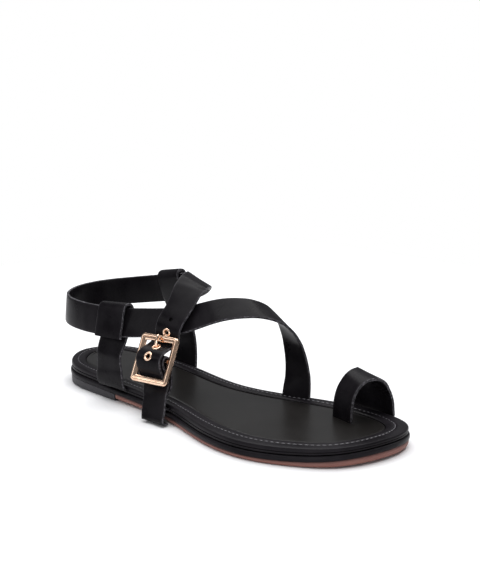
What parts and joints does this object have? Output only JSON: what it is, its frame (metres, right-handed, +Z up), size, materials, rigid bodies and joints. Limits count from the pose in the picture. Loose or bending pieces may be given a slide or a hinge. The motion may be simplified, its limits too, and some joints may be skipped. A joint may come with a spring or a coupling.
{
  "type": "toe loop sandal",
  "caption": "Flat leather sandal for the right foot: long strap wrapped over the instep and round the ankle, toe loop, strap keepers and a pin buckle.",
  "frame": {"origin": "under the middle of the whole part, on the floor plane", "axes": "+X toward the toe, +Y medial (big toe side), +Z up; the sandal stands on z = 0"},
  "size_m": [0.2534, 0.0962, 0.0776],
  "materials": {
    "black_leather": "semi-gloss smooth leather",
    "insole_leather": "smooth polished lining leather",
    "tan_leather": "matt sole leather",
    "black_rubber": "matt",
    "rose_gold": "polished rose gold plate"
  },
  "bodies": {
    "root": {"heel_lift": "black_rubber", "outsole": "tan_leather", "midsole": "black_leather", "footbed": "black_leather", "insole_sock": "insole_leather", "wrap_strap": "black_leather", "toe_loop": "black_leather", "keeper_lateral": "black_leather", "keeper_medial": "black_leather", "buckle_tab": "black_leather", "buckle_frame": "rose_gold", "buckle_bar": "rose_gold", "buckle_prong": "rose_gold", "eyelet_1": "rose_gold", "eyelet_2": "rose_gold", "eyelet_3": "rose_gold"}
  },
  "joints": []
}
